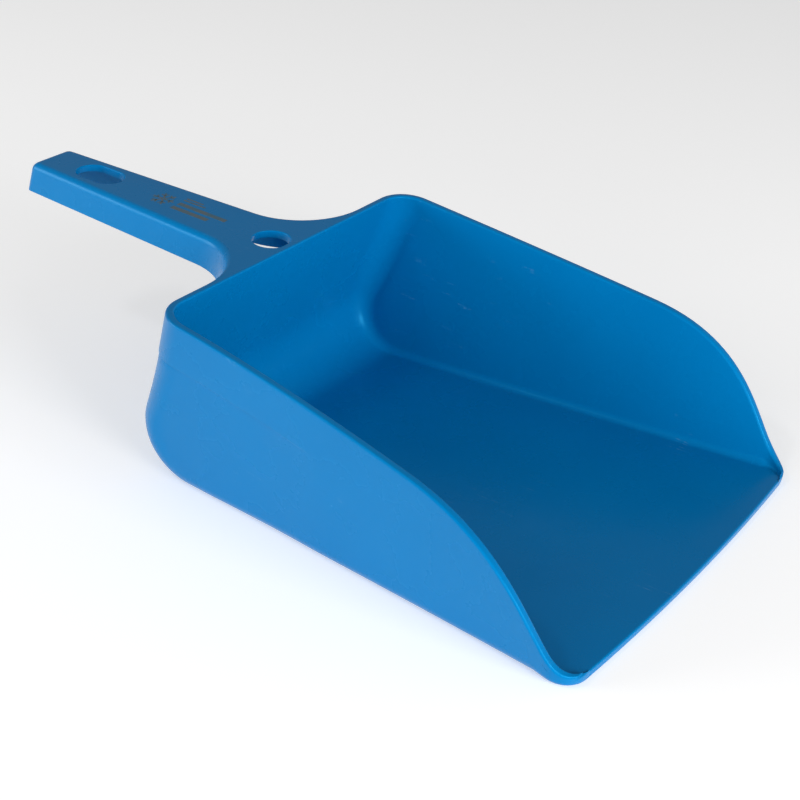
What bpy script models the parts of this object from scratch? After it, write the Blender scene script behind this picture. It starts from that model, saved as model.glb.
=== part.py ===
"""Flat-bottomed plastic ice scoop with a channel handle.

The scoop is one moulding. It is made here as two solids, the bowl and the handle, which meet at
the bowl's back wall with JOIN_GAP between them.

Both are drawn in the moulding's own frame: the handle's top and the back rim lie in the plane
z = 0, x runs from the back rim towards the mouth, and everything hangs below. The floor isn't
parallel to that plane, so the finished scoop is turned by FLOOR_TILT to lay its floor on z = 0.
"""

import math

import bmesh
import bpy
from mathutils import Matrix, Vector

# Overall sizes, in metres
BOWL_LENGTH = 0.2030  # back rim to the corners of the lip
BOWL_DEPTH = 0.0817  # back rim down to the underside of the floor
BACK_WIDTH = 0.1644  # across the rim at the back
MOUTH_WIDTH = 0.1996  # across the rims' lines at the lip, if they weren't cut down to it
HANDLE_LENGTH = 0.141  # back rim to the end of the handle
FLOOR_TILT = math.radians(2.3)  # the handle rises by this angle from the floor
DRAW_LEAN = math.radians(16.8)  # back wall, handle sides and holes all lean this way

# Walls
WALL = 0.0030
BAND_PROUD = 0.0006  # the rim stands out from the wall below it
BAND_HEIGHT = 0.0200
RIM_THICKNESS = WALL + BAND_PROUD

# Bowl
FLOOR_BACK_WIDTH = 0.1490
FLOOR_FRONT_WIDTH = 0.1816
BACK_CORNER = 0.0156  # plan radius of the two back corners
BACK_BEND = 0.0250  # radius from the back wall to the floor
SIDE_BEND = 0.0065  # radius from the side walls to the floor
RIM_SLOPE = 0.090  # fall of the side rims just in front of the back corners
RIM_SLOPE_AT_BEND = 0.152
RIM_BEND = 0.130  # from here the rim curves down to the lip
MOUTH_REACH = 0.053  # how far the rim keeps its line past the bend
LIP_REACH = 0.0170  # how far the edge flattens out before the lip
LIP_SLOPE = 0.10  # its slope as it meets the lip
LIP_CORNER = 0.0110
LIP_BOW = 0.0028
CORNER_STAND = 0.0015  # height of the edge above the floor at the lip's corners

# Handle
HANDLE_END_WIDTH = 0.0240
HANDLE_NECK_WIDTH = 0.0380  # its straight sides, carried on to the back rim
HANDLE_DEPTH = 0.0144
HANDLE_CORNER = 0.0035
TOP_PLATE = 0.0034
NECK_FILLET = 0.0320
SLOT_LENGTH, SLOT_WIDTH, SLOT_FROM_END = 0.0245, 0.0152, 0.0326
HOLE_RADIUS, HOLE_FROM_RIM = 0.0083, 0.0076
JOIN_GAP = 0.0003

# Mesh fineness: steps along the rim from the lip to the back corner, then round it and across
MOUTH_STEPS, FLOOR_STEPS, BEND_STEPS, BACK_STEPS = 14, 5, 5, 5
WALL_STEPS, FILLET_STEPS, ACROSS_STEPS = 3, 5, 12

BLUE = (0.0, 0.24, 0.60, 1.0)


def smooth(t):
    t = min(max(t, 0.0), 1.0)
    return t * t * (3 - 2 * t)


def mix(a, b, t):
    return a + (b - a) * t


def bezier(points, t):
    a, b, c, d = points
    s = 1 - t
    return a * s**3 + b * (3 * s * s * t) + c * (3 * s * t * t) + d * t**3


def floor_z(x):
    """The underside of the floor, in the moulding's frame."""
    return -BOWL_DEPTH + math.tan(FLOOR_TILT) * x


# The bowl. Its surface is a profile, drawn across the bowl: forward along the floor from the foot
# of the back wall, and up the back wall round a bend. Each side wall meets it in a fillet. The rim
# band runs round the top, and below it each row of points goes down a side, across, and up again.


def rim_fall(x):
    """How far the rim has dropped at x, up to where it bends down to the lip."""
    curve = (RIM_SLOPE_AT_BEND - RIM_SLOPE) / (2 * RIM_BEND)
    eased = math.hypot(x, BACK_CORNER / 4) - BACK_CORNER / 4
    return RIM_SLOPE * eased + curve * x * x


def side_edge():
    """Points (x, z) along a side's top edge, from the lip to the back corner."""
    start = Vector((RIM_BEND, -rim_fall(RIM_BEND)))
    end = Vector((BOWL_LENGTH, floor_z(BOWL_LENGTH) + WALL + CORNER_STAND))
    mouth = (
        end,
        end + LIP_REACH * Vector((-1, LIP_SLOPE)),
        start + MOUTH_REACH * Vector((1, -RIM_SLOPE_AT_BEND)),
        start,
    )
    points = [bezier(mouth, (i / MOUTH_STEPS) ** 1.5) for i in range(MOUTH_STEPS)]
    steps = FLOOR_STEPS + BEND_STEPS + BACK_STEPS
    for i in range(steps + 1):
        x = mix(RIM_BEND, BACK_CORNER, i / steps)
        points.append(Vector((x, -rim_fall(x))))
    return points


def lip_rounding(x):
    """How far the lip's rounded corner draws the outline in at x."""
    past = min(max(x - (BOWL_LENGTH - LIP_CORNER), 0.0), LIP_CORNER)
    return LIP_CORNER - math.sqrt(LIP_CORNER**2 - past**2)


def half_width(x, z):
    """The side walls' outer half width: they flare towards the lip, and draw in going down."""
    along = max(x / BOWL_LENGTH, 0.0)
    rim = mix(BACK_WIDTH, MOUTH_WIDTH, along**1.5) / 2
    floor = mix(FLOOR_BACK_WIDTH, FLOOR_FRONT_WIDTH, along**1.2) / 2
    line = -rim_fall(max(x, 0.0))
    return mix(rim, floor, (line - z) / (line - floor_z(x))) - lip_rounding(x)


def band_fade(x):
    """The band's step dies out along the side."""
    return 1 - smooth((x - 0.055) / 0.035)


def ring(depth, inset):
    """Points round the bowl this far below its rim, from the near end of the lip to the far one,
    with inset(x) the distance inside the outer face."""
    edge = side_edge()
    near = []
    for point in edge:
        back = (BOWL_LENGTH - point.x) / (BOWL_LENGTH - BACK_CORNER)
        low = min(depth, 0.4 * (point.y - floor_z(point.x)))
        x, z = point.x - math.tan(DRAW_LEAN) * low * back, point.y - low
        near.append(Vector((x, inset(point.x) - half_width(x, z), z)))
    corner = near[-1]
    radius = BACK_CORNER - inset(0)
    steps = WALL_STEPS + FILLET_STEPS
    for i in range(1, steps + 1):
        angle = math.radians(90) * i / steps
        x = corner.x - radius * math.sin(angle)
        z = -rim_fall(BACK_CORNER * (1 - math.sin(angle))) - depth
        near.append(Vector((x, corner.y + radius * (1 - math.cos(angle)), z)))
    last = near[-1]
    for i in range(1, ACROSS_STEPS // 2 + 1):
        near.append(Vector((last.x, last.y * (1 - 2 * i / ACROSS_STEPS), last.z)))
    return near + [point * Vector((1, -1, 1)) for point in reversed(near[:-1])]


def rounded_corner(wall_point, corner, flat, radius, steps):
    """Points round the corner between a wall and the surface that it stands on."""
    up = (wall_point - corner).normalized()
    half = up.angle(flat) / 2
    reach = min(radius / math.tan(half), 0.7 * (wall_point - corner).length)
    radius = reach * math.tan(half)
    centre = corner + (up + flat).normalized() * radius / math.sin(half)
    first = (corner + up * reach - centre).normalized()
    last = (corner + flat * reach - centre).normalized()
    return [centre + first.slerp(last, i / steps) * radius for i in range(steps + 1)]


def profile(border, inset, rise):
    """The profile's points and how far it has turned at each, from the lip up to the border's back.
    The back wall is inset from its outer face, and the floor is raised."""
    lean = math.tan(DRAW_LEAN)
    top = border[len(border) // 2].z
    foot_x = (inset - lean * (BOWL_DEPTH - rise)) / (1 - lean * math.tan(FLOOR_TILT))
    corner = Vector((foot_x, 0, floor_z(foot_x) + rise))
    wall = Vector((inset + lean * top, 0, top))
    flat = Vector((1, 0, math.tan(FLOOR_TILT))).normalized()
    bend = rounded_corner(wall, corner, flat, BACK_BEND - inset, BEND_STEPS)
    path = []
    steps = MOUTH_STEPS + FLOOR_STEPS
    lip, last = border[0].x, border[steps].x
    for point in border[:steps]:
        x = mix(BOWL_LENGTH, bend[-1].x, (lip - point.x) / (lip - last))
        path.append((Vector((x, 0, floor_z(x) + rise)), 0.0))
    for i, point in enumerate(reversed(bend)):
        path.append((point, i / BEND_STEPS))
    for i in range(1, BACK_STEPS):
        path.append((bend[0].lerp(wall, i / BACK_STEPS), 1.0))
    return path


def bowed(point, half):
    """Carries the floor out to the bowed lip."""
    reach = max(point.x / BOWL_LENGTH - 0.8, 0.0) / 0.2
    bow = LIP_BOW * reach * reach * max(1 - (point.y / half) ** 2, 0.0)
    return point + Vector((bow, 0, bow * math.tan(FLOOR_TILT)))


def spaced(line, evenly):
    """The side of a row, redrawn with fewer points round its fillet. They move from sitting apart
    on the wall and the fillet to being evenly spaced, as they are round the back corner."""
    reach = [0.0]
    for a, b in zip(line, line[1:]):
        reach.append(reach[-1] + (b - a).length)
    marks = list(range(WALL_STEPS)) + list(range(WALL_STEPS, len(line), 4))
    points = []
    for i, mark in enumerate(marks):
        aim = mix(reach[mark], reach[-1] * i / (len(marks) - 1), evenly)
        after = next((k for k in range(1, len(line)) if reach[k] >= aim), len(line) - 1)
        share = (aim - reach[after - 1]) / (reach[after] - reach[after - 1])
        points.append(line[after - 1].lerp(line[after], share))
    return points


def rows_below(border, side_inset, back_inset, rise, thinner):
    """Rows of points across the bowl inside a ring, from the lip to the ring's back."""
    path = profile(border, back_inset, rise)
    rows = []
    for i, (foot, turn) in enumerate(path):
        start = border[i]
        angle = math.radians(90) * turn
        stand = Vector((math.sin(angle), 0, math.cos(angle)))
        climb = i / (len(path) - 1)
        radius = mix(SIDE_BEND - thinner, BACK_CORNER - back_inset, smooth(3 * climb - 2))
        room = max(start.z - foot.z, 0.0) * (1 - turn) + BACK_CORNER * 2 * turn

        def on_wall(x, z):
            return Vector((x, side_inset(max(x, 0.0)) - half_width(x, z), z))

        corner = on_wall(foot.x, foot.z)
        above = foot + stand * room
        wall_point = on_wall(above.x, above.z)
        fillet = rounded_corner(wall_point, corner, Vector((0, 1, 0)), radius, 4 * FILLET_STEPS)
        side = [start]
        for j in range(1, WALL_STEPS):
            middle = start.lerp(fillet[0], j / WALL_STEPS)
            side.append(on_wall(middle.x, middle.z))
        side = spaced(side + fillet, smooth((climb - 0.7) / 0.25))
        last, half = side[-1], abs(corner.y)
        floor = [last * Vector((1, 1 - 2 * j / ACROSS_STEPS, 1)) for j in range(ACROSS_STEPS + 1)]
        floor = [bowed(point, half) for point in floor]
        mirrored = [point * Vector((1, -1, 1)) for point in reversed(side[:-1])]
        rows.append(side[:-1] + floor + mirrored)
    count = len(path)
    rows.append(border[count : len(border) - count])
    return rows


def add_sheet(mesh, border, rows, flip):
    """Adds the rows inside a border of vertices, and returns the front row's vertices."""
    grid = []
    for i, row in enumerate(rows[:-1]):
        middle = [mesh.verts.new(point) for point in row[1:-1]]
        grid.append([border[i]] + middle + [border[-1 - i]])
    count = len(rows) - 1
    grid.append(border[count : len(border) - count])
    for a, b in zip(grid, grid[1:]):
        join(mesh, a, b, flip)
    return grid[0]


def join(mesh, a, b, flip=False):
    for j in range(len(a) - 1):
        corners = (a[j], a[j + 1], b[j + 1], b[j])
        mesh.faces.new(corners[::-1] if flip else corners)


def make_bowl():
    mesh = bmesh.new()

    def proud(x):
        return BAND_PROUD * band_fade(x)

    def place(points):
        return [mesh.verts.new(point) for point in points]

    outer = (
        ring(0, lambda x: 0),
        ring(BAND_HEIGHT, lambda x: 0),
        ring(BAND_HEIGHT + BAND_PROUD, proud),
    )
    inner = ring(0, lambda x: RIM_THICKNESS)
    rings = [place(points) for points in outer]
    inner_rim = place(inner)
    for upper, lower in zip(rings, rings[1:]):
        join(mesh, upper, lower)
    join(mesh, inner_rim, rings[0])
    rows = rows_below(outer[-1], proud, BAND_PROUD, 0, 0)
    front = add_sheet(mesh, rings[-1], rows, flip=True)
    rows = rows_below(inner, lambda x: RIM_THICKNESS, RIM_THICKNESS, WALL, WALL)
    inner_front = add_sheet(mesh, inner_rim, rows, flip=False)
    outer_front = [each[0] for each in rings[:-1]] + front + [each[-1] for each in rings[-2::-1]]
    close_front(mesh, outer_front, inner_front)
    return add_object("bowl", mesh)


def close_front(mesh, outer, inner):
    """The face of the lip. The outer row has two more points at each end, above the band's foot."""
    extra = (len(outer) - len(inner)) // 2
    for side in (1, -1):
        run = outer[: extra + 1] if side == 1 else outer[: -extra - 2 : -1]
        start = inner[0] if side == 1 else inner[-1]
        for a, b in zip(run, run[1:]):
            mesh.faces.new((start, a, b)[::side])
    join(mesh, outer[extra : len(outer) - extra], inner)


# The handle: an outline pushed down along the draw direction, hollow from below.


def handle_outline(inset, front):
    """The handle's plan, its sides flaring into the back rim, with its front cut at x = front."""
    end_x = -HANDLE_LENGTH + inset
    slope = (HANDLE_NECK_WIDTH - HANDLE_END_WIDTH) / 2 / HANDLE_LENGTH
    radius = NECK_FILLET + inset
    centre_x = -NECK_FILLET
    centre_y = HANDLE_NECK_WIDTH / 2 + slope * centre_x + NECK_FILLET * math.hypot(1, slope)
    side = []
    steps = 12
    for i in range(steps + 1):
        angle = mix(-math.pi / 2 + math.atan(slope), 0.0, i / steps)
        x = centre_x + radius * math.cos(angle)
        if x > front:
            break
        side.append((x, centre_y + radius * math.sin(angle)))
    reach = front - centre_x
    side.append((front, centre_y - math.sqrt(max(radius**2 - reach**2, 0.0))))
    corner = max(HANDLE_CORNER - inset, HANDLE_CORNER / 4)
    half = HANDLE_END_WIDTH / 2 - inset
    end = []
    for i in range(5):
        angle = math.radians(90) * (1 - i / 4)
        x = end_x + corner * (1 - math.sin(angle))
        end.append((x, half - corner * (1 - math.cos(angle))))
    far = end + side
    return far + [(x, -y) for x, y in reversed(far)]


def slot_outline():
    half, radius = SLOT_LENGTH / 2, SLOT_WIDTH / 2
    centre = -HANDLE_LENGTH + SLOT_FROM_END
    points = []
    for i in range(24):
        angle = math.tau * i / 24
        shift = math.copysign(half - radius, math.cos(angle))
        points.append((centre + shift + radius * math.cos(angle), radius * math.sin(angle)))
    return points


def hole_outline():
    angles = [math.tau * i / 24 for i in range(24)]
    return [
        (-HOLE_FROM_RIM + HOLE_RADIUS * math.cos(angle), HOLE_RADIUS * math.sin(angle))
        for angle in angles
    ]


def drawn_prism(name, outline, top, bottom):
    """A prism whose outline, given in the plane z = 0, is carried along the draw direction."""
    mesh = bmesh.new()
    rings = []
    for z in (top, bottom):
        lean = math.tan(DRAW_LEAN) * z
        rings.append([mesh.verts.new((x + lean, y, z)) for x, y in outline])
    upper, lower = rings
    mesh.faces.new(upper)
    mesh.faces.new(lower[::-1])
    for i in range(len(outline)):
        mesh.faces.new((upper[i - 1], upper[i], lower[i], lower[i - 1]))
    bmesh.ops.recalc_face_normals(mesh, faces=mesh.faces)
    return add_object(name, mesh)


def cut(target, cutter):
    cutter.hide_render = True
    cutter.display_type = "WIRE"
    modifier = target.modifiers.new(cutter.name, "BOOLEAN")
    modifier.operation = "DIFFERENCE"
    modifier.object = cutter


def make_handle():
    clear = 0.002  # how far each cutter runs past what it cuts
    handle = drawn_prism("handle", handle_outline(0, -JOIN_GAP), 0, -HANDLE_DEPTH)
    hollow = handle_outline(WALL, NECK_FILLET / 8)
    cut(handle, drawn_prism("hollow", hollow, -TOP_PLATE, -HANDLE_DEPTH - clear))
    cut(handle, drawn_prism("hanging_slot", slot_outline(), clear, -HANDLE_DEPTH - clear))
    cut(handle, drawn_prism("neck_hole", hole_outline(), clear, -HANDLE_DEPTH - clear))
    return handle


# Common


def plastic():
    material = bpy.data.materials.new("blue_polypropylene")
    material.use_nodes = True
    shader = material.node_tree.nodes["Principled BSDF"]
    shader.inputs["Base Color"].default_value = BLUE
    shader.inputs["Roughness"].default_value = 0.3
    shader.inputs["Metallic"].default_value = 0.0
    return material


def add_object(name, mesh):
    data = bpy.data.meshes.new(name)
    mesh.to_mesh(data)
    mesh.free()
    data.shade_smooth()
    data.set_sharp_from_angle(angle=math.radians(35))
    made = bpy.data.objects.new(name, data)
    bpy.context.scene.collection.objects.link(made)
    return made


def stand_on_floor(pieces):
    """Turns the moulding so that its floor is level, and puts the origin under its middle."""
    turn = Matrix.Rotation(FLOOR_TILT, 4, "Y")
    xs = [(turn @ vertex.co).x for piece in pieces for vertex in piece.data.vertices]
    middle = (min(xs) + max(xs)) / 2
    scoop = bpy.data.objects.new("scoop", None)
    bpy.context.scene.collection.objects.link(scoop)
    lift = BOWL_DEPTH * math.cos(FLOOR_TILT)
    scoop.matrix_world = Matrix.Translation((-middle, 0, lift)) @ turn
    for each in bpy.data.objects:
        if each.type == "MESH":
            each.parent = scoop


def main():
    for each in list(bpy.data.objects):
        bpy.data.objects.remove(each)
    bowl = make_bowl()
    handle = make_handle()
    for piece in (bowl, handle):
        piece.data.materials.append(plastic())
    stand_on_floor((bowl, handle))


main()
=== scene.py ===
import math

import bmesh
import bpy
from mathutils import Matrix, Vector


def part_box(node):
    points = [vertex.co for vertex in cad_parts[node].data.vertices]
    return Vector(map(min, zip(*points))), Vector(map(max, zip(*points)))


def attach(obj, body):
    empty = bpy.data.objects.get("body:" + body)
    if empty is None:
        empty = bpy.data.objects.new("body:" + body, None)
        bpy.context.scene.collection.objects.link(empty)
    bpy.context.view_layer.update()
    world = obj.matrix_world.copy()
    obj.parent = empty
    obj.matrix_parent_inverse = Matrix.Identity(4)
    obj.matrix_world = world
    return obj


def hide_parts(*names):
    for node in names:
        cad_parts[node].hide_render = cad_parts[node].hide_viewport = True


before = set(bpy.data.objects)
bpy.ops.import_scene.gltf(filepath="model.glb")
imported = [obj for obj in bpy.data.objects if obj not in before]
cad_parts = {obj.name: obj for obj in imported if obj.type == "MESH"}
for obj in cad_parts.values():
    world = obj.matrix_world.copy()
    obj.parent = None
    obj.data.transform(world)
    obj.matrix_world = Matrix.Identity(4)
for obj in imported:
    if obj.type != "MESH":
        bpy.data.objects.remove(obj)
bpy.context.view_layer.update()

for name in ("Cube", "Light", "Camera"):
    if name in bpy.data.objects:
        bpy.data.objects.remove(bpy.data.objects[name])

# The scoop's sizes, as in the CAD, in metres
BOWL_LENGTH, BOWL_DEPTH = 0.2030, 0.0817
BACK_WIDTH, MOUTH_WIDTH = 0.1644, 0.1996
HANDLE_LENGTH = 0.141
FLOOR_TILT, DRAW_LEAN = math.radians(2.3), math.radians(16.8)
WALL, BAND_PROUD, BAND_HEIGHT = 0.0030, 0.0006, 0.0200
RIM = WALL + BAND_PROUD
FLOOR_BACK_WIDTH, FLOOR_FRONT_WIDTH = 0.1490, 0.1816
BACK_CORNER, BACK_BEND, SIDE_BEND = 0.0156, 0.0250, 0.0065
RIM_SLOPE, RIM_SLOPE_AT_BEND, RIM_BEND = 0.090, 0.152, 0.130
MOUTH_REACH, LIP_REACH, LIP_SLOPE = 0.053, 0.0170, 0.10
LIP_CORNER, LIP_BOW, CORNER_STAND = 0.0110, 0.0028, 0.0015
HANDLE_END_WIDTH, HANDLE_NECK_WIDTH, HANDLE_DEPTH = 0.0240, 0.0380, 0.0144
HANDLE_CORNER, TOP_PLATE, NECK_FILLET = 0.0035, 0.0034, 0.0320
SLOT_LENGTH, SLOT_WIDTH, SLOT_FROM_END = 0.0245, 0.0152, 0.0326
HOLE_RADIUS, HOLE_FROM_RIM = 0.0083, 0.0076
RIM_FLARE, FLOOR_FLARE = 1.5, 1.2  # powers by which the bowl widens towards the lip
RIM_EASE = BACK_CORNER / 4  # the side rim leaves the level back rim over about this length

# Rounding that the CAD leaves out
RIM_EDGE = 0.0011
HANDLE_EDGE = 0.0032
HOLE_EDGE = 0.0006
LIP_EDGE = 0.0009
SKIRT_CORNER = 0.0012  # inside the handle's end
SKIRT_LOOP = 0.0006  # a row of points this far above the skirt's lower edge keeps its shading crisp

# Shares and places that shape the surface
BAND_FADE_FROM, BAND_FADE_OVER = 0.055, 0.035  # where along the side the band's step dies out
BAND_STEP = 0.35 * BAND_PROUD  # height of each of the three runs in the band's step
BAND_SHOULDER = 0.12  # share of the step's depth that its first and last runs take
BAND_SHARE = 0.4  # the most of a side's height that the band takes near the lip
SQUARE_FROM, SQUARE_OVER = 0.090, 0.060  # where the rim's rounding turns square to its edge
SHALLOW = 0.004  # rows nearer the rim than this are set square to it
BOW_FROM = 0.8  # share of the bowl's length after which the floor bows out to the lip
CORNER_REACH = 0.7  # the most of a wall that a rounded corner may take
LIP_REACH_ACROSS = 0.45  # the most of the lip's thickness that each rounding may take
EVEN_FROM, EVEN_OVER = 0.70, 0.25  # the climb over which a row's points spread out evenly
CORNER_INSET = 0.9  # share of a row's inset that comes off the handle's corner radius

# Mesh fineness
EDGE_STEPS, HOLE_EDGE_STEPS = 5, 3
MOUTH_STEPS, FLOOR_STEPS, BEND_STEPS, BACK_STEPS = 44, 26, 14, 14
MOUTH_CROWDING = 1.4  # draws the mouth's points towards the lip
WALL_STEPS, FILLET_STEPS = 12, 10
FINE = 4  # points on a fillet before it is respaced, for each point after
BACK_COUNTS = (8, 5, 10, 3)  # points between the corner, neck, skirt, hole and middle
NECK_STEPS, SIDE_STEPS, END_CORNER_STEPS, END_STEPS = 16, 24, 8, 4
INNER_NECK_STEPS, INNER_SIDE_STEPS, INNER_CORNER_STEPS = 14, 20, 4
SLOT_STEPS, HOLE_STEPS = 16, 28
POINTS_PER_METRE = 2e6  # points closer than about half a micrometre become one
SHARP_ANGLE = math.radians(50)

LIP_X = BOWL_LENGTH - LIP_EDGE
AT_NECK = BACK_COUNTS[0] - 1
HOLE_FLAT_STEPS = BACK_COUNTS[-1]
LEAN = math.tan(DRAW_LEAN)
TILT = math.tan(FLOOR_TILT)
NECK_SLOPE = (HANDLE_NECK_WIDTH - HANDLE_END_WIDTH) / 2 / HANDLE_LENGTH
NECK_Y = HANDLE_NECK_WIDTH / 2 - NECK_SLOPE * NECK_FILLET + NECK_FILLET * math.hypot(1, NECK_SLOPE)
SKIRT_Y = NECK_Y - math.sqrt((NECK_FILLET + WALL) ** 2 - NECK_FILLET**2)
HOLE_Y = math.sqrt(HOLE_RADIUS**2 - HOLE_FROM_RIM**2)


def smooth(t):
    t = min(max(t, 0.0), 1.0)
    return t * t * (3 - 2 * t)


def mix(a, b, t):
    return a + (b - a) * t


def bezier(points, t):
    a, b, c, d = points
    s = 1 - t
    return a * s**3 + b * (3 * s * s * t) + c * (3 * s * t * t) + d * t**3


def floor_z(x):
    """The underside of the floor, in the moulding's frame."""
    return -BOWL_DEPTH + TILT * x


def rim_fall(x):
    """How far the rim has dropped at x, up to where it bends down to the lip."""
    curve = (RIM_SLOPE_AT_BEND - RIM_SLOPE) / (2 * RIM_BEND)
    eased = math.hypot(x, RIM_EASE) - RIM_EASE
    return RIM_SLOPE * eased + curve * x * x


def side_edge():
    """(point, outward normal) along a side's top edge, in its own plane, from lip to corner."""
    start = Vector((RIM_BEND, -rim_fall(RIM_BEND)))
    end = Vector((LIP_X, floor_z(LIP_X) + WALL + CORNER_STAND))
    mouth = (
        end,
        end + LIP_REACH * Vector((-1, LIP_SLOPE)),
        start + MOUTH_REACH * Vector((1, -RIM_SLOPE_AT_BEND)),
        start,
    )
    points = [bezier(mouth, (i / MOUTH_STEPS) ** MOUTH_CROWDING) for i in range(MOUTH_STEPS)]
    steps = FLOOR_STEPS + BEND_STEPS + BACK_STEPS
    for i in range(steps + 1):
        x = mix(RIM_BEND, BACK_CORNER, i / steps)
        points.append(Vector((x, -rim_fall(x))))
    edge = []
    for i, point in enumerate(points):
        along = points[min(i + 1, len(points) - 1)] - points[max(i - 1, 0)]
        edge.append((point, Vector((along.y, -along.x)).normalized()))
    return edge


def lip_rounding(x):
    """How far the lip's rounded corner draws the outline in at x."""
    past = min(max(x - (BOWL_LENGTH - LIP_CORNER), 0.0), LIP_CORNER)
    return LIP_CORNER - math.sqrt(LIP_CORNER**2 - past**2)


def half_width(x, z):
    """The side walls' outer half width: they flare towards the lip, and draw in going down."""
    along = max(x / BOWL_LENGTH, 0.0)
    rim = mix(BACK_WIDTH, MOUTH_WIDTH, along**RIM_FLARE) / 2
    floor = mix(FLOOR_BACK_WIDTH, FLOOR_FRONT_WIDTH, along**FLOOR_FLARE) / 2
    line = -rim_fall(max(x, 0.0))
    return mix(rim, floor, (line - z) / (line - floor_z(x))) - lip_rounding(x)


def band_fade(x):
    """The band's step dies out along the side."""
    return 1 - smooth((x - BAND_FADE_FROM) / BAND_FADE_OVER)


EDGE = side_edge()


def back_ys():
    """|y| of the stations across the back, from the corner's end to the middle."""
    marks = [BACK_WIDTH / 2 - BACK_CORNER, NECK_Y, SKIRT_Y, HOLE_Y, 0.0]
    ys = []
    for a, b, count in zip(marks, marks[1:], BACK_COUNTS):
        ys += [mix(a, b, i / count) for i in range(1, count + 1)]
    return ys


BACK_YS = back_ys()
NECK = len(EDGE) + WALL_STEPS + FILLET_STEPS + AT_NECK  # the neck's station in a ring
SKIRT = NECK + BACK_COUNTS[1]


def ring(depth, inset):
    """The near half of a ring round the bowl, depth below its rim and inset(x) inside its face."""
    near = []
    for point, out in EDGE:
        back = (LIP_X - point.x) / (LIP_X - BACK_CORNER)
        low = min(depth, BAND_SHARE * (point.y - floor_z(point.x)))
        square = smooth((point.x - SQUARE_FROM) / SQUARE_OVER) if depth < SHALLOW else 0.0
        straight = Vector((-LEAN * back, -1))
        go = straight.lerp(-out, square)
        x, z = point.x + go.x * low, point.y + go.y * low
        near.append(Vector((x, inset(point.x) - half_width(x, z), z)))
    corner = near[-1]
    radius = BACK_CORNER - inset(0)
    steps = WALL_STEPS + FILLET_STEPS
    for i in range(1, steps + 1):
        angle = math.radians(90) * i / steps
        x = corner.x - radius * math.sin(angle)
        z = -rim_fall(BACK_CORNER * (1 - math.sin(angle))) - depth
        near.append(Vector((x, corner.y + radius * (1 - math.cos(angle)), z)))
    last = near[-1]
    for i, y in enumerate(BACK_YS):
        ease = max(1 - (i + 1) / (AT_NECK + 1), 0.0)
        first = -last.y - (BACK_WIDTH / 2 - BACK_CORNER)
        near.append(Vector((last.x, -(y + first * ease), last.z)))
    return near


def rounded_corner(wall_point, corner, flat, radius, steps):
    """Points round the corner between a wall and the surface that it stands on."""
    up = (wall_point - corner).normalized()
    half = up.angle(flat) / 2
    reach = min(radius / math.tan(half), CORNER_REACH * (wall_point - corner).length)
    radius = reach * math.tan(half)
    centre = corner + (up + flat).normalized() * radius / math.sin(half)
    first = (corner + up * reach - centre).normalized()
    last = (corner + flat * reach - centre).normalized()
    return [centre + first.slerp(last, i / steps) * radius for i in range(steps + 1)]


def profile(border, inset, rise):
    """Points along the middle of the floor and up the back wall, and how far each has turned up."""
    top = border[-1].z
    foot_x = (inset - LEAN * (BOWL_DEPTH - rise)) / (1 - LEAN * TILT)
    corner = Vector((foot_x, 0, floor_z(foot_x) + rise))
    wall = Vector((inset + LEAN * top, 0, top))
    flat = Vector((1, 0, TILT)).normalized()
    bend = rounded_corner(wall, corner, flat, BACK_BEND - inset, BEND_STEPS)
    path = []
    steps = MOUTH_STEPS + FLOOR_STEPS
    first, last = border[0].x, border[steps].x
    for point in border[:steps]:
        x = mix(LIP_X, bend[-1].x, (first - point.x) / (first - last))
        path.append((Vector((x, 0, floor_z(x) + rise)), 0.0))
    for i, point in enumerate(reversed(bend)):
        path.append((point, i / BEND_STEPS))
    for i in range(1, BACK_STEPS):
        path.append((bend[0].lerp(wall, i / BACK_STEPS), 1.0))
    return path


def bowed(point, half):
    """Carries the floor out to the bowed lip."""
    reach = max(point.x / BOWL_LENGTH - BOW_FROM, 0.0) / (1 - BOW_FROM)
    bow = LIP_BOW * reach * reach * max(1 - (point.y / half) ** 2, 0.0)
    return point + Vector((bow, 0, bow * TILT))


def on_wall(x, z, inset):
    """The near side wall's point at x and z, inset from the outer face."""
    return Vector((x, inset(max(x, 0.0)) - half_width(x, z), z))


def spaced(line, evenly):
    """The side of a row, redrawn with fewer points round its fillet. They move from sitting apart
    on the wall and the fillet to being evenly spaced, as they are round the back corner."""
    reach = [0.0]
    for a, b in zip(line, line[1:]):
        reach.append(reach[-1] + (b - a).length)
    marks = list(range(WALL_STEPS)) + list(range(WALL_STEPS, len(line), FINE))
    points = []
    for i, mark in enumerate(marks):
        aim = mix(reach[mark], reach[-1] * i / (len(marks) - 1), evenly)
        after = next((k for k in range(1, len(line)) if reach[k] >= aim), len(line) - 1)
        share = (aim - reach[after - 1]) / (reach[after] - reach[after - 1])
        points.append(line[after - 1].lerp(line[after], share))
    return points


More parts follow.
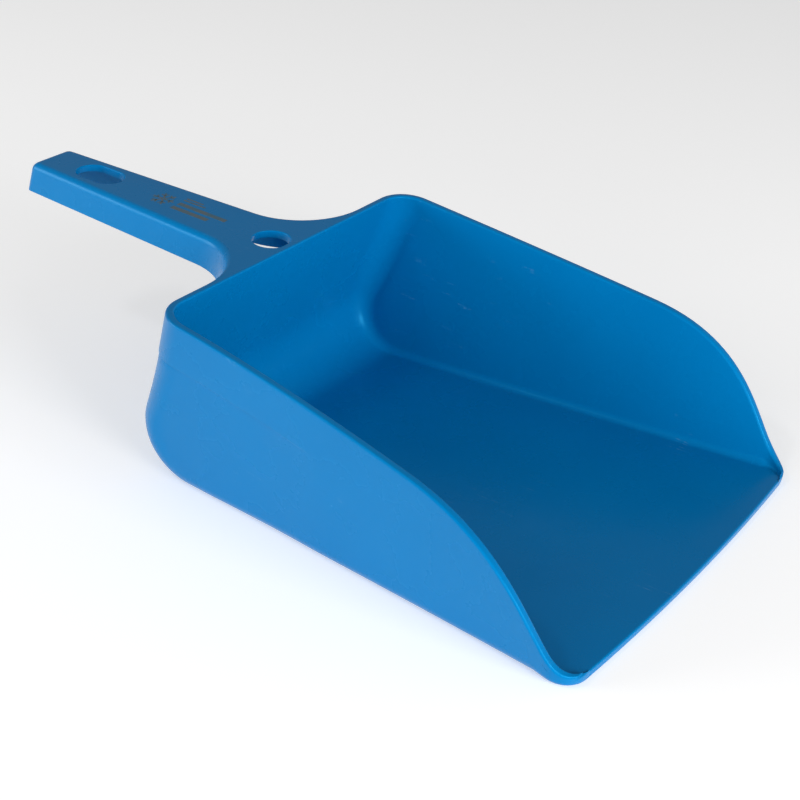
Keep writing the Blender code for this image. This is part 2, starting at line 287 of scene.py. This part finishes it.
def rows_below(border, side_inset, back_inset, rise, thinner):
    """The near half of each row of points across the bowl inside a ring."""
    path = profile(border, back_inset, rise)
    first_y = BACK_WIDTH / 2 - BACK_CORNER
    rows = []
    for i, (foot, turn) in enumerate(path):
        start = border[i]
        angle = math.radians(90) * turn
        stand = Vector((math.sin(angle), 0, math.cos(angle)))
        climb = i / (len(path) - 1)
        radius = mix(SIDE_BEND - thinner, BACK_CORNER - back_inset, smooth(3 * climb - 2))
        room = max(start.z - foot.z, 0.0) * (1 - turn) + BACK_CORNER * 2 * turn
        corner = on_wall(foot.x, foot.z, side_inset)
        above = foot + stand * room
        wall_point = on_wall(above.x, above.z, side_inset)
        fillet = rounded_corner(wall_point, corner, Vector((0, 1, 0)), radius, FINE * FILLET_STEPS)
        side = [start]
        for j in range(1, WALL_STEPS):
            middle = start.lerp(fillet[0], j / WALL_STEPS)
            side.append(on_wall(middle.x, middle.z, side_inset))
        side = spaced(side + fillet, smooth((climb - EVEN_FROM) / EVEN_OVER))
        last, half = side[-1], abs(corner.y)
        floor = [bowed(last, half)]
        for y in BACK_YS:
            floor.append(bowed(Vector((last.x, last.y * y / first_y, last.z)), half))
        rows.append(side[:-1] + floor)
    rows.append(border[len(path):])
    return rows


class Builder:
    """Collects the near half of the skin, in the moulding's frame, then mirrors it."""

    def __init__(self):
        self.mesh = bmesh.new()
        self.seen = {}

    def vert(self, point):
        key = tuple(round(c * POINTS_PER_METRE) for c in point)
        if key not in self.seen:
            self.seen[key] = self.mesh.verts.new(point)
        return self.seen[key]

    def face(self, points, flip=False):
        corners = list(dict.fromkeys(self.vert(point) for point in points))
        if len(corners) < 3:
            return
        far = [self.vert(each.co * Vector((1, -1, 1))) for each in corners][::-1]
        for loop in (corners, far):
            if self.mesh.faces.get(loop) is None:
                self.mesh.faces.new(loop[::-1] if flip else loop)

    def strip(self, a, b, flip=False):
        for j in range(len(a) - 1):
            self.face((a[j], a[j + 1], b[j + 1], b[j]), flip)

    def strips(self, rows, flip=False):
        for a, b in zip(rows, rows[1:]):
            self.strip(a, b, flip)


def handle_path(inset, depth, rounded=False):
    """The near half of the handle's plan from the neck to the end's middle. The rows of a rounded
    edge take up their inset and depth along the neck, from the rim's smaller rounding."""
    points = []
    turn = math.radians(90) - math.atan(NECK_SLOPE)
    lean = -LEAN * depth
    for i in range(NECK_STEPS + 1):
        t = i / NECK_STEPS
        here = mix(RIM_EDGE / HANDLE_EDGE, 1.0, smooth(t)) if rounded else 1.0
        radius = NECK_FILLET + inset * here
        drop = depth * here
        angle = -turn * t
        x = -NECK_FILLET + radius * math.cos(angle)
        y = NECK_Y + radius * math.sin(angle)
        points.append(Vector((x - LEAN * drop, -y, -drop)))
    half = HANDLE_END_WIDTH / 2 - inset * math.hypot(1, NECK_SLOPE)
    end_x = -HANDLE_LENGTH + inset
    corner = HANDLE_CORNER - inset * CORNER_INSET
    neck = points[-1]
    start_y = half + NECK_SLOPE * (end_x + corner + HANDLE_LENGTH)
    start = Vector((end_x + corner + lean, -start_y, -depth))
    for i in range(1, SIDE_STEPS):
        points.append(neck.lerp(start, i / SIDE_STEPS))
    for i in range(END_CORNER_STEPS + 1):
        angle = math.radians(90) * i / END_CORNER_STEPS
        x = end_x + corner * (1 - math.sin(angle))
        y = -start.y - corner * (1 - math.cos(angle))
        points.append(Vector((x + lean, -y, -depth)))
    last = points[-1]
    for i in range(1, END_STEPS + 1):
        points.append(last * Vector((1, 1 - i / END_STEPS, 1)))
    return points


def inner_path(depth):
    """The inner face of the handle's skirt, from the bowl's back wall to the end's middle."""
    radius = NECK_FILLET + WALL
    first = math.acos(NECK_FILLET / radius)
    turn = math.radians(90) - math.atan(NECK_SLOPE)
    lean = -LEAN * depth
    points = []
    for i in range(INNER_NECK_STEPS + 1):
        angle = -mix(first, turn, i / INNER_NECK_STEPS)
        x = -NECK_FILLET + radius * math.cos(angle)
        points.append(Vector((x + lean, -(NECK_Y + radius * math.sin(angle)), -depth)))
    half = HANDLE_END_WIDTH / 2 - WALL * math.hypot(1, NECK_SLOPE)
    end_x = -HANDLE_LENGTH + WALL
    corner = SKIRT_CORNER
    start = Vector((end_x + corner + lean, -(half + NECK_SLOPE * (WALL + corner)), -depth))
    neck = points[-1]
    for i in range(1, INNER_SIDE_STEPS):
        points.append(neck.lerp(start, i / INNER_SIDE_STEPS))
    for i in range(INNER_CORNER_STEPS + 1):
        angle = math.radians(90) * i / INNER_CORNER_STEPS
        x = end_x + corner * (1 - math.sin(angle))
        points.append(Vector((x + lean, start.y + corner * (1 - math.cos(angle)), -depth)))
    last = points[-1]
    points.append(last * Vector((1, 0, 1)))
    return points


def slot_path(grow, depth):
    """The near half of the slot's outline, from its end near the handle's end to the other."""
    half, radius = SLOT_LENGTH / 2, SLOT_WIDTH / 2
    centre = -HANDLE_LENGTH + SLOT_FROM_END
    points = []
    for side in (-1, 1):
        for i in range(SLOT_STEPS + 1):
            angle = math.radians(90) * (i / SLOT_STEPS if side < 0 else 1 - i / SLOT_STEPS)
            x = centre + side * (half - radius + (radius + grow) * math.cos(angle))
            points.append(Vector((x - LEAN * depth, -(radius + grow) * math.sin(angle), -depth)))
    return points


def hole_path(grow, depth):
    """The near half of the neck hole's outline, from its back to its flat face, and the face."""
    radius = HOLE_RADIUS + grow
    reach = HOLE_FROM_RIM + grow
    stop = math.acos(reach / radius)
    points = []
    for i in range(HOLE_STEPS + 1):
        angle = mix(math.pi, stop, i / HOLE_STEPS)
        x = -HOLE_FROM_RIM + radius * math.cos(angle)
        points.append(Vector((x - LEAN * depth, -radius * math.sin(angle), -depth)))
    last = points[-1]
    for i in range(1, HOLE_FLAT_STEPS + 1):
        points.append(last * Vector((1, 1 - i / HOLE_FLAT_STEPS, 1)))
    return points


def arc(steps):
    """(inset, depth) shares along a rounded edge, from the side up to the top."""
    turns = [math.radians(90) * i / steps for i in range(steps + 1)]
    return [(1 - math.cos(turn), 1 - math.sin(turn)) for turn in turns]


def proud(x):
    return BAND_PROUD * band_fade(x)


def flush(x):
    """No inset, wherever x is."""
    return 0


def inner_face(x):
    """The rim's thickness, wherever x is."""
    return RIM


def rim_arcs():
    """Rows round the rim's outer and inner roundings, each from its side up to the top."""
    outer, inner = [], []
    for share, down in arc(EDGE_STEPS):
        outer.append(ring(RIM_EDGE * down, lambda x, s=share: RIM_EDGE * s))
        inner.append(ring(RIM_EDGE * down, lambda x, s=share: RIM - RIM_EDGE * s))
    return outer, inner


def build_skin():
    skin = Builder()
    outer_arc, inner_arc = rim_arcs()
    skin.strips([row[: NECK + 1] for row in outer_arc], flip=True)
    skin.strips(inner_arc, flip=False)
    skin.strip(inner_arc[-1][: NECK + 1], outer_arc[-1][: NECK + 1])
    depths = [TOP_PLATE, HANDLE_DEPTH - SKIRT_LOOP, HANDLE_DEPTH]
    upper = [outer_arc[0]] + [ring(depth, flush) for depth in depths]
    build_bowl(skin, upper, outer_arc, inner_arc)
    side = build_handle(skin, depths, upper, outer_arc)
    build_holes(skin, upper, inner_arc[-1], side)
    return skin


def build_bowl(skin, upper, outer_arc, inner_arc):
    """The band, the walls and the floor, outside and in, and the lip."""
    skin.strips([row[: NECK + 1] for row in upper])
    skin.strips([row[SKIRT:] for row in upper[1:]])
    lower = [
        upper[-1],
        ring(BAND_HEIGHT - BAND_STEP, flush),
        ring(BAND_HEIGHT, lambda x: BAND_SHOULDER * proud(x)),
        ring(BAND_HEIGHT + BAND_STEP, lambda x: (1 - BAND_SHOULDER) * proud(x)),
        ring(BAND_HEIGHT + 2 * BAND_STEP, proud),
    ]
    skin.strips(lower)
    outer_rows = rows_below(lower[-1], proud, BAND_PROUD, 0, 0)
    for i, row in enumerate(outer_rows[:-1]):
        row[0] = lower[-1][i]
    skin.strips(outer_rows, flip=True)
    inner_rows = rows_below(inner_arc[0], inner_face, RIM, WALL, WALL)
    skin.strips(inner_rows)
    outer_front = [row[0] for row in upper + lower[1:]] + outer_rows[0][1:]
    rim_ends = [row[0] for row in outer_arc] + [row[0] for row in inner_arc[::-1]]
    nose(skin, outer_front, inner_rows[0], rim_ends)


def build_handle(skin, depths, upper, outer_arc):
    """The handle's sides and the inside of its skirt. Returns the outline of its top face."""
    sides = []
    for (share, down), bowl_row in zip(arc(EDGE_STEPS), outer_arc):
        row = handle_path(HANDLE_EDGE * share, HANDLE_EDGE * down, rounded=True)
        sides.append([bowl_row[NECK]] + row[1:])
    skin.strips(sides, flip=True)
    flat = [[row[NECK]] + handle_path(0, depth)[1:] for row, depth in zip(upper[1:], depths)]
    skin.strips([sides[0]] + flat)
    under = [upper[-1][SKIRT]] + inner_path(HANDLE_DEPTH)[1:]
    skin.strip(ceiling_path(upper), under, flip=True)
    skin.face(flat[-1] + under[::-1] + upper[-1][NECK + 1 : SKIRT][::-1])
    return sides[-1]


def ceiling_path(upper):
    return [upper[1][SKIRT]] + inner_path(TOP_PLATE)[1:]


def build_holes(skin, upper, rim_top, side):
    """The slot, the neck hole, and the top and ceiling faces that they pass through."""
    slots, holes = [slot_path(0, TOP_PLATE)], [hole_path(0, TOP_PLATE)]
    for share, down in arc(HOLE_EDGE_STEPS):
        slots.append(slot_path(HOLE_EDGE * share, HOLE_EDGE * down))
        holes.append(hole_path(HOLE_EDGE * share, HOLE_EDGE * down))
    skin.strips(slots)
    skin.strips(holes)
    skin.face(rim_top[NECK:] + holes[-1][::-1] + slots[-1][::-1] + side[::-1])
    wall_line = upper[1][SKIRT + 1 : len(upper[1]) - HOLE_FLAT_STEPS]
    hole_edge = holes[0][:-HOLE_FLAT_STEPS]
    skin.face(ceiling_path(upper) + slots[0] + hole_edge + wall_line[::-1], flip=True)


def nose(skin, outer, inner, rim_ends):
    """The rounded lip between the outer and the inner surface, closed at the rim's ends."""
    extra = len(outer) - len(inner)
    matched = [outer[0]] + outer[extra + 1 :]

    def layer(start, end, share, down):
        row = []
        for a, b in zip(start, end):
            across = min(LIP_EDGE, LIP_REACH_ACROSS * (b - a).length)
            ahead = LIP_EDGE * (1 - down)
            point = a + (b - a).normalized() * across * share + Vector((1, 0, TILT)) * ahead
            drawn = lip_rounding(LIP_X + ahead) - lip_rounding(LIP_X)
            point.y *= 1 - drawn / (FLOOR_FRONT_WIDTH / 2)
            row.append(point)
        return row

    rows = [layer(matched, inner, share, down) for share, down in arc(EDGE_STEPS)]
    rows += [layer(inner, matched, share, down) for share, down in arc(EDGE_STEPS)][::-1]
    skin.strips(rows)
    for a, b in zip(outer[: extra + 1], outer[1 : extra + 2]):
        skin.face((outer[0], a, b))
    skin.face(rim_ends + [row[0] for row in rows][::-1])


def link(name, data):
    """A new object in the scene."""
    made = bpy.data.objects.new(name, data)
    bpy.context.scene.collection.objects.link(made)
    return made


def body_mesh():
    """The skin as a mesh, laid down on its floor, and the matrix that laid it down."""
    mesh = build_skin().mesh
    bmesh.ops.recalc_face_normals(mesh, faces=mesh.faces)
    data = bpy.data.meshes.new("scoop_body")
    mesh.to_mesh(data)
    mesh.free()
    turn = Matrix.Rotation(FLOOR_TILT, 4, "Y")
    data.transform(turn)
    lip_x = max(vertex.co.x for vertex in data.vertices)
    lift = BOWL_DEPTH * math.cos(FLOOR_TILT)
    shift = Matrix.Translation((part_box("bowl")[1].x - lip_x, 0, lift))
    data.transform(shift)
    data.shade_smooth()
    data.set_sharp_from_angle(angle=SHARP_ANGLE)
    return data, shift @ turn


body_data, PLACE = body_mesh()
body = link("scoop_body", body_data)
weighted = body.modifiers.new("weighted", "WEIGHTED_NORMAL")
weighted.keep_sharp = True
weighted.weight = 60

# Materials. A noise's scale is about its number of blotches to the metre, and a stretch multiplies
# it along an axis.

BLUE_DEEP, BLUE_LIGHT = (0.0, 0.146, 0.380, 1), (0.0, 0.158, 0.405, 1)
SCUFF = (0.20, 0.42, 0.60, 1)
INK, INK_WORN = (0.080, 0.115, 0.135, 1), (0.045, 0.115, 0.165, 1)


def texture_at(nodes, links, stretch):
    """The position on the object, stretched, to feed a texture."""
    where = nodes.new("ShaderNodeTexCoord")
    scaled = nodes.new("ShaderNodeVectorMath")
    scaled.operation = "MULTIPLY"
    scaled.inputs[1].default_value = stretch
    links.new(where.outputs["Object"], scaled.inputs[0])
    return scaled.outputs["Vector"]


def noise(nodes, links, scale, detail, stretch=(1, 1, 1)):
    made = nodes.new("ShaderNodeTexNoise")
    made.inputs["Scale"].default_value = scale
    made.inputs["Detail"].default_value = detail
    links.new(texture_at(nodes, links, stretch), made.inputs["Vector"])
    return made.outputs["Fac"]


def mapped(nodes, links, value, between, onto=(0, 1)):
    """The value, stretched and clamped from one range onto another."""
    made = nodes.new("ShaderNodeMapRange")
    for name, number in zip(("From Min", "From Max", "To Min", "To Max"), between + onto):
        made.inputs[name].default_value = number
    links.new(value, made.inputs["Value"])
    return made.outputs["Result"]


def times(nodes, links, a, b):
    made = nodes.new("ShaderNodeMath")
    made.operation = "MULTIPLY"
    links.new(a, made.inputs[0])
    links.new(b, made.inputs[1])
    return made.outputs["Value"]


def mixed_colour(nodes, links, share, first, second):
    """A blend of two colours, each a constant or another node's output."""
    made = nodes.new("ShaderNodeMix")
    made.data_type = "RGBA"
    links.new(share, made.inputs["Factor"])
    sockets = [each for each in made.inputs if each.type == "RGBA"]
    for socket, colour in zip(sockets, (first, second)):
        if isinstance(colour, tuple):
            socket.default_value = colour
        else:
            links.new(colour, socket)
    return next(each for each in made.outputs if each.type == "RGBA")


def bumped(nodes, links, height, strength, distance, under=None):
    """A normal roughened by a height, on top of another bump's normal."""
    made = nodes.new("ShaderNodeBump")
    made.inputs["Strength"].default_value = strength
    made.inputs["Distance"].default_value = distance
    links.new(height, made.inputs["Height"])
    if under is not None:
        links.new(under, made.inputs["Normal"])
    return made.outputs["Normal"]


def new_material(name):
    made = bpy.data.materials.new(name)
    made.use_nodes = True
    return made, made.node_tree.nodes, made.node_tree.links


def scuff_mask(nodes, links):
    """Short scratches, in a few patches."""
    along = noise(nodes, links, scale=60, detail=2, stretch=(1, 14, 6))
    across = noise(nodes, links, scale=55, detail=2, stretch=(11, 1, 9))
    patches = noise(nodes, links, scale=18, detail=2)
    streaks = times(
        nodes,
        links,
        mapped(nodes, links, along, between=(0.62, 0.74)),
        mapped(nodes, links, across, between=(0.40, 0.62)),
    )
    return times(nodes, links, streaks, mapped(nodes, links, patches, (0.58, 0.72), onto=(0, 0.24)))


def plastic():
    """Moulded polypropylene: satin, faintly mottled, with fine scratches in a few patches."""
    material, nodes, links = new_material("blue_plastic")
    shader = nodes["Principled BSDF"]
    mottle = mapped(nodes, links, noise(nodes, links, scale=14, detail=3), between=(0.3, 0.7))
    colour = mixed_colour(nodes, links, mottle, BLUE_DEEP, BLUE_LIGHT)
    colour = mixed_colour(nodes, links, scuff_mask(nodes, links), colour, SCUFF)
    links.new(colour, shader.inputs["Base Color"])
    gloss = noise(nodes, links, scale=45, detail=4)
    rough = mapped(nodes, links, gloss, between=(0.3, 0.7), onto=(0.22, 0.32))
    links.new(rough, shader.inputs["Roughness"])
    shader.inputs["IOR"].default_value = 1.49
    shader.inputs["Specular IOR Level"].default_value = 0.25
    shader.inputs["Specular Tint"].default_value = (0.05, 0.60, 1.0, 1)
    wave = noise(nodes, links, scale=28, detail=2)
    grain = noise(nodes, links, scale=700, detail=3)
    wavy = bumped(nodes, links, wave, strength=0.10, distance=0.0012)
    normal = bumped(nodes, links, grain, strength=0.10, distance=0.0003, under=wavy)
    links.new(normal, shader.inputs["Normal"])
    return material


def ink():
    """Grey print, worn through to the blue here and there."""
    material, nodes, links = new_material("grey_ink")
    shader = nodes["Principled BSDF"]
    wear = noise(nodes, links, scale=320, detail=3)
    worn = mapped(nodes, links, wear, between=(0.45, 0.60))
    links.new(mixed_colour(nodes, links, worn, INK, INK_WORN), shader.inputs["Base Color"])
    shader.inputs["Roughness"].default_value = 0.5
    return material


def paper():
    """The floor's surface. It gives off a little light, to stay nearly white round the scoop."""
    material, nodes, _ = new_material("pale_floor")
    shader = nodes["Principled BSDF"]
    shader.inputs["Base Color"].default_value = (0.86, 0.86, 0.86, 1)
    shader.inputs["Roughness"].default_value = 0.7
    shader.inputs["Emission Color"].default_value = (1, 1, 1, 1)
    shader.inputs["Emission Strength"].default_value = 0.34
    return material


body.data.materials.append(plastic())
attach(body, "root")
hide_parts("bowl", "handle")


# A generic mark printed on the handle, where the real scoop carries its maker's: an ice crystal
# beside plain bars. Places are on the handle's top, in the moulding's frame.

INK_HEIGHT = 0.00005  # the ink reaches this far above the plastic, and as far into it
CRYSTAL_AT = (-0.0692, -0.0005)
CRYSTAL_ARMS, CRYSTAL_ARM, CRYSTAL_LINE = 6, 0.0058, 0.0009
CRYSTAL_HEART = 0.08  # share of an arm that is left open at the middle
BRANCH_AT, BRANCH_TURN, BRANCH_LENGTH = 0.55, 0.9, 0.0022
BRANCH_LINE = 0.8 * CRYSTAL_LINE
BARS = (  # each from one corner (x, y) to the other
    (-0.0615, 0.0040, -0.0490, 0.0050),
    (-0.0615, 0.0060, -0.0520, 0.0070),
    (-0.0608, -0.0010, -0.0335, 0.0016),
    (-0.0608, -0.0056, -0.0400, -0.0030),
)


def add_bar(mesh, start, end, width):
    """A flat bar of ink from start to end."""
    along = (end - start).normalized()
    side = Vector((-along.y, along.x, 0)) * width / 2
    corners = [start - side, end - side, end + side, start + side]
    low = [mesh.verts.new(point - Vector((0, 0, INK_HEIGHT))) for point in corners]
    high = [mesh.verts.new(point + Vector((0, 0, INK_HEIGHT))) for point in corners]
    mesh.faces.new(high)
    mesh.faces.new(low[::-1])
    for i in range(4):
        j = (i + 1) % 4
        mesh.faces.new((low[i], low[j], high[j], high[i]))


def add_crystal(mesh):
    centre = Vector((*CRYSTAL_AT, 0))
    for i in range(CRYSTAL_ARMS):
        angle = math.tau * i / CRYSTAL_ARMS
        arm = Vector((math.cos(angle), math.sin(angle), 0)) * CRYSTAL_ARM
        add_bar(mesh, centre + arm * CRYSTAL_HEART, centre + arm, CRYSTAL_LINE)
        fork = centre + arm * BRANCH_AT
        for turned in (angle - BRANCH_TURN, angle + BRANCH_TURN):
            branch = Vector((math.cos(turned), math.sin(turned), 0)) * BRANCH_LENGTH
            add_bar(mesh, fork, fork + branch, BRANCH_LINE)


def print_mesh():
    mesh = bmesh.new()
    add_crystal(mesh)
    for x0, y0, x1, y1 in BARS:
        middle = (y0 + y1) / 2
        add_bar(mesh, Vector((x0, middle, 0)), Vector((x1, middle, 0)), y1 - y0)
    data = bpy.data.meshes.new("handle_print")
    mesh.to_mesh(data)
    mesh.free()
    data.transform(PLACE)
    return data


mark = link("handle_print", print_mesh())
mark.data.materials.append(ink())
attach(mark, "root")


# Stage

STAGE_REACH, STAGE_Z = 4.0, -0.0001  # half its width, and just under the scoop's floor


def stage_mesh():
    corners = [(-1, -1), (1, -1), (1, 1), (-1, 1)]
    data = bpy.data.meshes.new("floor")
    points = [(x * STAGE_REACH, y * STAGE_REACH, STAGE_Z) for x, y in corners]
    data.from_pydata(points, [], [(0, 1, 2, 3)])
    return data


floor = link("floor", stage_mesh())
floor.data.materials.append(paper())


def area_light(name, location, target, size, watts):
    light = bpy.data.lights.new(name, "AREA")
    light.shape = "RECTANGLE"
    light.size, light.size_y = size
    light.energy = watts
    made = link(name, light)
    made.location = location
    aim = Vector(target) - Vector(location)
    made.rotation_euler = aim.to_track_quat("-Z", "Y").to_euler()


# Three low softboxes light the walls more than the floor, and a small lamp gives the fine glints.
SCOOP_MIDDLE = (0, 0, 0.05)
area_light("front_softbox", (0.55, -1.35, 0.28), SCOOP_MIDDLE, size=(1.3, 0.5), watts=7.5)
area_light("right_softbox", (1.45, -0.35, 0.42), SCOOP_MIDDLE, size=(0.8, 0.6), watts=21)
area_light("left_softbox", (-1.1, -0.9, 0.35), SCOOP_MIDDLE, size=(0.9, 0.5), watts=11.5)
area_light("glint", (-0.30, -0.52, 0.95), (0.1, 0.05, 0.02), size=(0.22, 0.08), watts=0.7)

world = bpy.data.worlds.new("studio")
world.use_nodes = True
world.node_tree.nodes["Background"].inputs["Color"].default_value = (1, 1, 1, 1)
world.node_tree.nodes["Background"].inputs["Strength"].default_value = 0.29
bpy.context.scene.world = world
bpy.context.scene.view_settings.view_transform = "Standard"

camera = bpy.data.cameras.new("camera")
camera.sensor_width = 36
camera.lens = 72.42
camera.clip_start, camera.clip_end = 0.01, 20
eye = link("camera", camera)
eye.location = (0.3705, -0.4784, 0.3581)
eye.rotation_euler = (math.radians(60.574), math.radians(-1.340), math.radians(35.981))
bpy.context.scene.camera = eye
